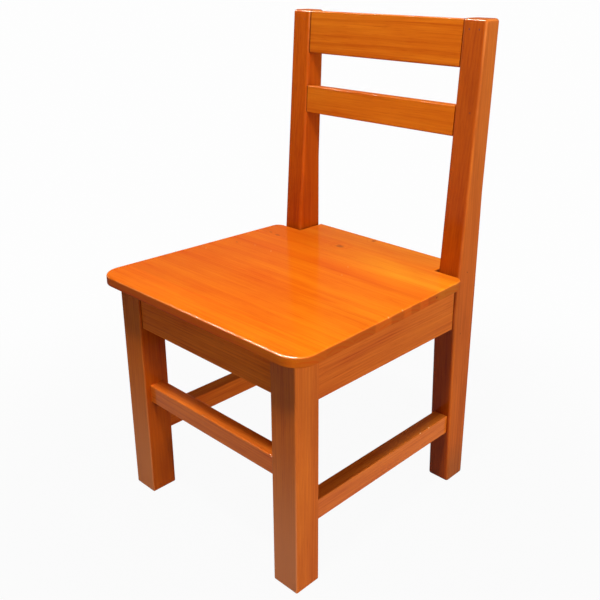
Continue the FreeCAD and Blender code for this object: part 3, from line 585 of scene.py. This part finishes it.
# Chips in the varnish: centre and radius
SEAT_CHIPS = (
    ((-0.1504, -0.0234, 0.300), 0.0013),
    ((-0.1132, 0.0305, 0.300), 0.0011),
    ((-0.0798, 0.0288, 0.300), 0.0014),
    ((0.0470, 0.0287, 0.300), 0.0010),
    ((0.0335, 0.0547, 0.300), 0.0011),
    ((0.1668, -0.0294, 0.299), 0.0015),
    ((0.1659, -0.0040, 0.299), 0.0015),
)
STRETCHER_CHIPS = (
    ((0.1470, 0.0873, 0.102), 0.0016),
    ((0.1470, 0.0695, 0.102), 0.0014),
)
POST_CHIPS = (((-0.1289, 0.1430, 0.5468), 0.0016),)
# Dark dots: centre and radius
POST_DOTS = (
    ((0.1230, 0.1430, 0.5908), 0.0016),
    ((0.1525, 0.1422, 0.3006), 0.0014),
    ((0.1525, 0.1362, 0.2195), 0.0014),
)
SEAT_DOTS = (((0.1646, 0.0623, 0.2943), 0.0018),)
# Dark lines at the ends of rails and aprons: axis number, place on it and half width
RAIL_END = 0.121
APRON_END = 0.1155
CREST_JOINTS = ((X, -RAIL_END, 0.0026),)
RAIL_JOINTS = ((X, -RAIL_END, 0.0016),)
APRON_JOINTS = ((X, -APRON_END, 0.0016), (X, APRON_END, 0.0012))
SIDE_JOINTS = ((Y, -0.1205, 0.0012), (Y, 0.1215, 0.0012))

# Wood of each piece: grain direction, stain and what differs from plain stock
LEG = {"direction": "upright", "stain": FRAME_STAIN, "pith": (0.05, 0.07), "ring_spacing": 0.0031,
       "fibre_depth": 0.75, "tones": leg_tones, "varnish": 0.15}
POST = {"direction": "upright", "stain": POST_STAIN, "pith": (0.05, 0.09), "ring_spacing": 0.0034,
        "tones": post_tones, "varnish": 0.14, "edge_gloss": 0.20}
APRON = {"direction": "across", "stain": FRAME_STAIN, "pith": (0.03, 0.09), "ring_spacing": 0.0035}
SIDE = {"direction": "front to back", "stain": FRAME_STAIN, "pith": (0.03, 0.09), "ring_spacing": 0.0036}
RAIL = {"direction": "across", "stain": BACK_STAIN, "pith": (0.03, 0.13), "ring_spacing": 0.011,
        "ring_depth": 0.34, "varnish": 0.04, "edge_gloss": 0.03}
BOARD = {"direction": "across", "stain": SEAT_STAIN, "pith": (0.012, 0.055), "ring_spacing": 0.005,
         "fibre_depth": 0.85, "chips": SEAT_CHIPS, "tones": seat_tones, "wear": 0.75,
         "worn_and_highlit_edges": seat_edge_wear_and_highlight, "varnish": 0.080, "edge_gloss": 0.34}
BLOCK = {"stain": BARE_WOOD, "pith": (0.03, 0.06), "ring_depth": 0.5, "wear": 0.0, "varnish": 0.0}
WOODEN_PIECES = {
    "front_leg_left": {**LEG, "varnish": 0.07},
    "front_leg_right": LEG,
    "rear_post_left": {**POST, "shade": 1.12, "varnish": 0.05, "chips": POST_CHIPS},
    "rear_post_right": {**POST, "shade": 0.94, "dots": POST_DOTS},
    # the front apron's lighter stain stands in for light under the seat: painted light
    "front_apron": {**APRON, "shade": 1.45, "varnish": 0.05, "joints": APRON_JOINTS},
    "rear_apron": APRON,
    "side_apron_left": {**SIDE, "joints": SIDE_JOINTS},
    "side_apron_right": {**SIDE, "shade": 1.06, "varnish": 0.14, "joints": SIDE_JOINTS},
    # the front stretcher's lighter stain partly stands in for the pale sheen on its front: painted sheen
    "front_stretcher": {**APRON, "shade": 1.32, "fibre_depth": 0.7, "varnish": 0.28},
    "side_stretcher_left": {**SIDE, "shade": 0.98, "varnish": 0.05, "tones": stretcher_top_shade},
    "side_stretcher_right": {**SIDE, "shade": 1.08, "chips": STRETCHER_CHIPS, "tones": stretcher_top_shade},
    "crest_rail": {**RAIL, "joints": CREST_JOINTS},
    "mid_rail": {**RAIL, "ring_depth": 0.2, "joints": RAIL_JOINTS},
    "seat_board_1": {**BOARD, "shade": 1.02},
    "seat_board_2": {**BOARD, "shade": 0.99},
    "seat_board_3": {**BOARD, "shade": 0.98},
    "seat_board_4": {**BOARD, "shade": 1.00},
    "seat_board_5": {**BOARD, "shade": 1.01},
    "seat_board_6": {**BOARD, "shade": 1.02, "dots": SEAT_DOTS},
    "seat_board_7": {**BOARD, "shade": 0.98},
    "seat_tab": {**BOARD, "shade": 0.97},
    "corner_block_front_left": {**BLOCK, "direction": "other diagonal"},
    "corner_block_front_right": {**BLOCK, "direction": "diagonal"},
    "corner_block_rear_left": {**BLOCK, "direction": "diagonal"},
    "corner_block_rear_right": {**BLOCK, "direction": "other diagonal"},
}


def knots_of(node):
    """The seat's knots that lie in one board."""
    low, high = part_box(node)
    found = []
    for knot in SEAT_KNOTS:
        _, back, _, half_width = knot
        if low.y - half_width < back < high.y + half_width:
            found.append(knot)
    return found


def dress_wood():
    """Give each wooden node its own stained wood, cut from a different place in the tree."""
    for number, (node, finish) in enumerate(WOODEN_PIECES.items()):
        knots = knots_of(node) if finish["stain"] is SEAT_STAIN else ()
        wood = stained_wood(node + "_wood", number, node, knots=knots, **finish)
        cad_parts[node].material_slots[0].material = wood


dress_wood()

# Grime and scratches on plated steel: how fast they change per metre, their range and their strength
GRIME = (700.0, 700.0, 700.0)
SCRATCHES = (2500.0, 2500.0, 4000.0)
STEEL_DETAIL = 3.0
GRIME_RANGE = (-0.05, 0.25)
GRIME_SHADE = 0.35
GRIME_SHARE = 0.55
GRIME_ROUGHNESS = 0.25
SCRATCH_ROUGHNESS = 0.15
SCRATCH_RELIEF = 0.25
# Height of scratches in steel and of grit in filler
FINE_RELIEF = 0.0002
ZINC_ROUGHNESS = 0.32
WIRE_ROUGHNESS = 0.25


def metal(name, colour, roughness):
    """Plated steel with grime and scratches."""
    material, tree = new_material(name)
    place = tree.add("ShaderNodeTexCoord").outputs["Object"]
    grime = tree.smooth(tree.noise(place, GRIME, STEEL_DETAIL), *GRIME_RANGE)
    scratch = tree.noise(place, SCRATCHES)
    tone = tree.colour(tree.product(grime, GRIME_SHARE), colour, shaded(colour, GRIME_SHADE))
    rough = tree.total(roughness, tree.product(grime, GRIME_ROUGHNESS),
                       tree.product(scratch, SCRATCH_ROUGHNESS))
    bump = tree.add("ShaderNodeBump", None, {
        "Strength": SCRATCH_RELIEF, "Distance": FINE_RELIEF, "Height": scratch,
    })
    shader = tree.add("ShaderNodeBsdfPrincipled", None, {
        "Base Color": tone, "Roughness": rough, "Normal": bump.outputs[0], "Metallic": 1.0,
    })
    tree.surface("ShaderNodeOutputMaterial", shader.outputs[0])
    return material


# Grit in wood filler, and where the chair's right half starts
GRIT = (1800.0, 1800.0, 1800.0)
GRIT_DETAIL = 3.0
GRIT_RANGE = (-0.2, 0.3)
GRIT_SHADE = 3.0
GRIT_RELIEF = 0.3
GRIT_ROUGHNESS = 0.3
FILLER_ROUGHNESS = 0.5
FILLER_SHINE = 0.1
RIGHT_HALF = (-0.01, 0.01)


def filler_paste():
    """Wood filler over the brads: dark on the right post, stained like the wood on the left one."""
    material, tree = new_material("filler_paste")
    place = tree.add("ShaderNodeTexCoord").outputs["Object"]
    right = tree.smooth(tree.split(place)[X], *RIGHT_HALF)
    grit = tree.noise(place, GRIT, GRIT_DETAIL)
    grains = tree.smooth(grit, *GRIT_RANGE)
    dark = tree.colour(grains, FILLER_COLOUR, shaded(FILLER_COLOUR, GRIT_SHADE))
    stained = tree.colour(grains, tinted(POST_STAIN["dark"], NOT_OUTER_POST_TINT),
                          tinted(POST_STAIN["pale"], NOT_OUTER_POST_TINT))
    bump = tree.add("ShaderNodeBump", None, {
        "Strength": GRIT_RELIEF, "Distance": FINE_RELIEF, "Height": grit,
    })
    shader = tree.add("ShaderNodeBsdfPrincipled", None, {
        "Base Color": tree.colour(right, stained, dark),
        "Roughness": tree.total(FILLER_ROUGHNESS, tree.product(grit, GRIT_ROUGHNESS)),
        "Normal": bump.outputs[0],
        "Specular IOR Level": FILLER_SHINE,
    })
    tree.surface("ShaderNodeOutputMaterial", shader.outputs[0])
    return material


ZINC = metal("zinc_plate", ZINC_COLOUR, ZINC_ROUGHNESS)


class Shapes(Tree):
    """Adds geometry nodes, and gives back each node's first output."""

    def make(self, kind, settings=None, **inputs):
        named = {label.replace("_", " ").title(): value for label, value in inputs.items()}
        return self.add("GeometryNode" + kind, settings, named).outputs[0]

    def placed(self, shape, move=(0.0, 0.0, 0.0), turn=(0.0, 0.0, 0.0)):
        return self.make("Transform", geometry=shape, translation=move, rotation=turn)

    def joined(self, **sizes):
        """A vector from the axes that are given."""
        return self.add("ShaderNodeCombineXYZ", None, sizes).outputs[0]


SCREW_SIZES = ("Shank diameter", "Shank length", "Head diameter", "Head height", "Drive length",
               "Drive width", "Drive depth", "Thread pitch")
# Shares of the shank's radius: its core, the ridge of the thread and the length of the tip
CORE_SHARE = 0.72
RIDGE_SHARE = 0.27
TIP_SHARE = 1.6
# Outer face of the head against its rim, and end of the tip against the core
HEAD_TAPER = 0.74
TIP_TAPER = 0.1
HEAD_SIDES = 36
SHANK_SIDES = 20
THREAD_STEPS = 18
THREAD_SIDES = 3


def screw_tree():
    """Cross-headed wood screws on points, each turned to the point's way: head below 0, shank above it."""
    sockets = [("Points", "Geometry")] + [(label, "Float") for label in SCREW_SIZES]
    group = new_group("wood_screws", "GeometryNodeTree", sockets, [("Screws", "Geometry")])
    tree = Shapes(group)
    given = group.nodes.new("NodeGroupInput").outputs
    outer = tree.product(given["Shank diameter"], 0.5)
    core = tree.product(outer, CORE_SHARE)
    tip = tree.product(outer, TIP_SHARE)
    body = tree.maths("SUBTRACT", given["Shank length"], tip)

    rim = tree.product(given["Head diameter"], 0.5)
    head = tree.make("MeshCone", {"fill_type": "NGON"}, vertices=HEAD_SIDES, radius_bottom=rim,
                     radius_top=tree.product(rim, HEAD_TAPER), depth=given["Head height"])
    head = tree.placed(head, turn=(math.pi, 0.0, 0.0))
    face = tree.joined(Z=tree.product(given["Head height"], -1.0))
    # half of each arm of the cross lies outside the head
    arm = tree.make("MeshCube", size=tree.joined(
        X=given["Drive length"], Y=given["Drive width"], Z=tree.product(given["Drive depth"], 2.0)))
    cut = tree.add("GeometryNodeMeshBoolean", {"operation": "DIFFERENCE"}, {"Mesh 1": head})
    for angle in (0.0, math.pi / 2):
        tree.feed(cut.inputs["Mesh 2"], tree.placed(arm, face, (0.0, 0.0, angle)))

    shank = tree.make("MeshCylinder", {"fill_type": "NGON"}, vertices=SHANK_SIDES, radius=core, depth=body)
    shank = tree.placed(shank, tree.joined(Z=tree.product(body, 0.5)))
    point = tree.make("MeshCone", {"fill_type": "NGON"}, vertices=SHANK_SIDES, radius_bottom=core,
                      radius_top=tree.product(core, TIP_TAPER), depth=tip)
    point = tree.placed(point, tree.joined(Z=body))
    turns = tree.maths("DIVIDE", body, given["Thread pitch"])
    spiral = tree.make("CurveSpiral", resolution=THREAD_STEPS, rotations=turns, start_radius=core,
                       end_radius=core, height=body)
    profile = tree.make("CurvePrimitiveCircle", {"mode": "RADIUS"}, resolution=THREAD_SIDES,
                        radius=tree.product(outer, RIDGE_SHARE))
    thread = tree.make("CurveToMesh", curve=spiral, profile_curve=profile, fill_caps=True)
    whole = tree.add("GeometryNodeJoinGeometry")
    for shape in (cut.outputs[0], shank, point, thread):
        tree.feed(whole.inputs[0], shape)

    way = tree.add("GeometryNodeInputNamedAttribute", {"data_type": "FLOAT_VECTOR"}, {"Name": "way"})
    turn = tree.add("FunctionNodeAlignRotationToVector", {"axis": "Z"}, {"Vector": way.outputs[0]})
    screws = tree.make("InstanceOnPoints", points=given["Points"], instance=whole.outputs[0],
                       rotation=turn.outputs[0])
    screws = tree.make("RealizeInstances", geometry=screws)
    screws = tree.make("SetMaterial", geometry=screws, material=ZINC)
    tree.feed(tree.add("NodeGroupOutput").inputs["Screws"], screws)
    return group


SCREW_TREE = screw_tree()
# The tree's sizes for all screws, apart from their length
SCREW_FORM = {"Shank diameter": 0.004, "Head diameter": 0.008, "Head height": 0.0024, "Drive length": 0.0046,
              "Drive width": 0.001, "Drive depth": 0.0014, "Thread pitch": 0.0018}
BLOCK_SCREW_LENGTH = 0.022
SEAT_SCREW_LENGTH = 0.0235
BLOCK_SCREW_LEVEL = 0.2755
SEAT_SCREW_LEVEL = 0.2730
FORWARDS = (0.0, -1.0, 0.0)
BACKWARDS = (0.0, 1.0, 0.0)
OUTWARDS = (1.0, 0.0, 0.0)
UPWARDS = (0.0, 0.0, 1.0)
# Right-hand screws: where the head bears and which way the screw is driven
BLOCK_SCREW_SEATS = (
    ((0.0845, -0.1255, BLOCK_SCREW_LEVEL), FORWARDS),
    ((0.0820, 0.1345, BLOCK_SCREW_LEVEL), BACKWARDS),
    ((0.1225, -0.0875, BLOCK_SCREW_LEVEL), OUTWARDS),
    ((0.1225, 0.0940, BLOCK_SCREW_LEVEL), OUTWARDS),
)
SEAT_SCREW_SEATS = (
    ((0.1070, -0.1120, SEAT_SCREW_LEVEL), UPWARDS),
    ((0.0940, 0.1315, SEAT_SCREW_LEVEL), UPWARDS),
)


def both_sides(seats):
    """Seats on the right, and the same on the left."""
    mirrored = [((-place[0], *place[1:]), (-way[0], *way[1:])) for place, way in seats]
    return list(seats) + mirrored


def screws(name, node, right_seats, length):
    """Screws on both sides of the chair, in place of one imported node."""
    seats = both_sides(right_seats)
    mesh = bpy.data.meshes.new(name + "_points")
    mesh.from_pydata([place for place, _ in seats], [], [])
    ways = mesh.attributes.new("way", "FLOAT_VECTOR", "POINT")
    for number, (_, way) in enumerate(seats):
        ways.data[number].vector = way
    holder = bpy.data.objects.new(name + "_points", mesh)
    bpy.context.scene.collection.objects.link(holder)
    modifier = holder.modifiers.new("screws", "NODES")
    modifier.node_group = SCREW_TREE
    sizes = {**SCREW_FORM, "Shank length": length}
    for item in SCREW_TREE.interface.items_tree:
        if item.in_out == "INPUT" and item.name in sizes:
            modifier[item.identifier] = sizes[item.name]
    ready = holder.evaluated_get(bpy.context.evaluated_depsgraph_get())
    piece = bpy.data.objects.new(name, bpy.data.meshes.new_from_object(ready))
    bpy.data.objects.remove(holder)
    bpy.context.scene.collection.objects.link(piece)
    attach(piece, "root")
    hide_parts(node)


screws("apron_screws", "block_screws", BLOCK_SCREW_SEATS, BLOCK_SCREW_LENGTH)
screws("board_screws", "seat_screws", SEAT_SCREW_SEATS, SEAT_SCREW_LENGTH)
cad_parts["rail_brads"].material_slots[0].material = metal("bright_wire", ZINC_COLOUR, WIRE_ROUGHNESS)
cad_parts["brad_filler"].material_slots[0].material = filler_paste()


# Floor and background
FLOOR_SIZE = 12.0
FLOOR_GREY = (0.32, 0.32, 0.32)
WHITE = (0.985, 0.985, 0.985)
PLAIN_WHITE = (1.0, 1.0, 1.0)
# Where the floor, seen directly, turns from nearly white under the chair to white
FLOOR_FADE = (0.25, 0.8)
FLOOR_LEAST = 0.965
# Upward share of a direction over which gloss shows a darker background, and how much of it is gone there
OVERHEAD = (0.27, 0.46)
OVERHEAD_LOSS = 0.85
AMBIENT = 0.20


def seen_directly(tree):
    """1 for rays from the camera and for what gloss and glass show, 0 for light that falls on the chair."""
    path = tree.add("ShaderNodeLightPath").outputs
    return tree.most([path["Is Camera Ray"], path["Is Glossy Ray"], path["Is Transmission Ray"]])


def mixed(tree, share, first, second):
    """A shader that turns from the first into the second with the share."""
    mix = tree.add("ShaderNodeMixShader")
    for number, value in enumerate((share, first.outputs[0], second.outputs[0])):
        tree.feed(mix.inputs[number], value)
    return mix.outputs[0]


def pale_floor():
    """A wide floor, nearly white to the eye, that keeps a soft shadow."""
    mesh = bpy.data.meshes.new("floor")
    half = FLOOR_SIZE / 2
    corners = [(-half, -half, 0), (half, -half, 0), (half, half, 0), (-half, half, 0)]
    mesh.from_pydata(corners, [], [(0, 1, 2, 3)])
    floor = bpy.data.objects.new("floor", mesh)
    bpy.context.scene.collection.objects.link(floor)
    material, tree = new_material("pale_floor")
    matte = tree.add("ShaderNodeBsdfDiffuse", None, {"Color": FLOOR_GREY})
    glow = tree.add("ShaderNodeEmission", None, {"Color": WHITE})
    place = tree.add("ShaderNodeTexCoord").outputs["Object"]
    bright = tree.at_least(FLOOR_LEAST, tree.smooth(tree.vector("LENGTH", place), *FLOOR_FADE))
    share = tree.product(seen_directly(tree), bright)
    tree.surface("ShaderNodeOutputMaterial", mixed(tree, share, matte, glow))
    mesh.materials.append(material)


def pale_world():
    """White behind the chair, darker overhead in what gloss shows, and a plain grey glow as fill light."""
    world = bpy.data.worlds.new("studio")
    world.use_nodes = True
    world.node_tree.nodes.clear()
    tree = Tree(world.node_tree)
    path = tree.add("ShaderNodeLightPath").outputs
    upwards = tree.split(tree.add("ShaderNodeTexCoord").outputs["Generated"])[Z]
    overhead = tree.product(tree.smooth(upwards, *OVERHEAD), path["Is Glossy Ray"], OVERHEAD_LOSS)
    strength = tree.maths("SUBTRACT", 1.0, overhead)
    fill = tree.add("ShaderNodeBackground", None, {"Color": PLAIN_WHITE, "Strength": AMBIENT})
    white = tree.add("ShaderNodeBackground", None, {"Color": WHITE, "Strength": strength})
    tree.surface("ShaderNodeOutputWorld", mixed(tree, seen_directly(tree), fill, white))
    bpy.context.scene.world = world


def soft_lamp(name, place, target, width, height, power):
    lamp = bpy.data.lights.new(name, "AREA")
    lamp.shape = "RECTANGLE"
    lamp.size = width
    lamp.size_y = height
    lamp.energy = power
    item = bpy.data.objects.new(name, lamp)
    item.location = place
    item.rotation_euler = (Vector(target) - Vector(place)).to_track_quat("-Z", "Y").to_euler()
    bpy.context.scene.collection.objects.link(item)
    return item


pale_floor()
pale_world()
soft_lamp("key", place=(0.31, -0.485, 1.60), target=(0.0, 0.0, 0.3), width=0.14, height=0.14, power=19.1)
side_fill = soft_lamp("side_fill", place=(2.2, 0.0, 0.55), target=(0.0, 0.0, 0.32), width=1.0, height=0.5,
                      power=26.5)
back_fill = soft_lamp("back_fill", place=(-1.8, 1.5, 0.60), target=(0.0, 0.0, 0.3), width=1.2, height=1.0,
                      power=26.0)
for fill in (side_fill, back_fill):
    fill.visible_glossy = False
# a long light that shows only in the varnish, along rounded edges and corners
strip = soft_lamp("strip", place=(-0.55, -0.33, 1.55), target=(-0.55, 0.0, 0.3), width=1.7, height=0.22,
                  power=300.0)
strip.visible_diffuse = False


# Camera, solved from the photograph: angles in degrees, place in metres, image plane in pixels
IMAGE_SIZE = 600
CAMERA_AZIMUTH = 42.61
CAMERA_ELEVATION = 20.54
CAMERA_ROLL = 0.60
CAMERA_PLACE = (0.646479, -0.637205, 0.642869)
FOCAL_PIXELS = 787.635
IMAGE_CENTRE = (334.153, 269.412)
SENSOR = 36.0


def photo_camera():
    azimuth = math.radians(CAMERA_AZIMUTH)
    elevation = math.radians(CAMERA_ELEVATION)
    back = Vector((math.sin(azimuth) * math.cos(elevation), -math.cos(azimuth) * math.cos(elevation),
                   math.sin(elevation)))
    right = Vector((math.cos(azimuth), math.sin(azimuth), 0))
    level = Matrix((right, back.cross(right), back)).transposed()
    data = bpy.data.cameras.new("camera")
    data.sensor_fit = "HORIZONTAL"
    data.sensor_width = SENSOR
    data.lens = SENSOR * FOCAL_PIXELS / IMAGE_SIZE
    data.shift_x = (IMAGE_SIZE / 2 - IMAGE_CENTRE[0]) / IMAGE_SIZE
    data.shift_y = (IMAGE_CENTRE[1] - IMAGE_SIZE / 2) / IMAGE_SIZE
    camera = bpy.data.objects.new("camera", data)
    turned = level @ Matrix.Rotation(math.radians(CAMERA_ROLL), 3, "Z")
    camera.matrix_world = Matrix.Translation(CAMERA_PLACE) @ turned.to_4x4()
    bpy.context.scene.collection.objects.link(camera)
    bpy.context.scene.camera = camera


photo_camera()
bpy.context.scene.view_settings.view_transform = "Standard"
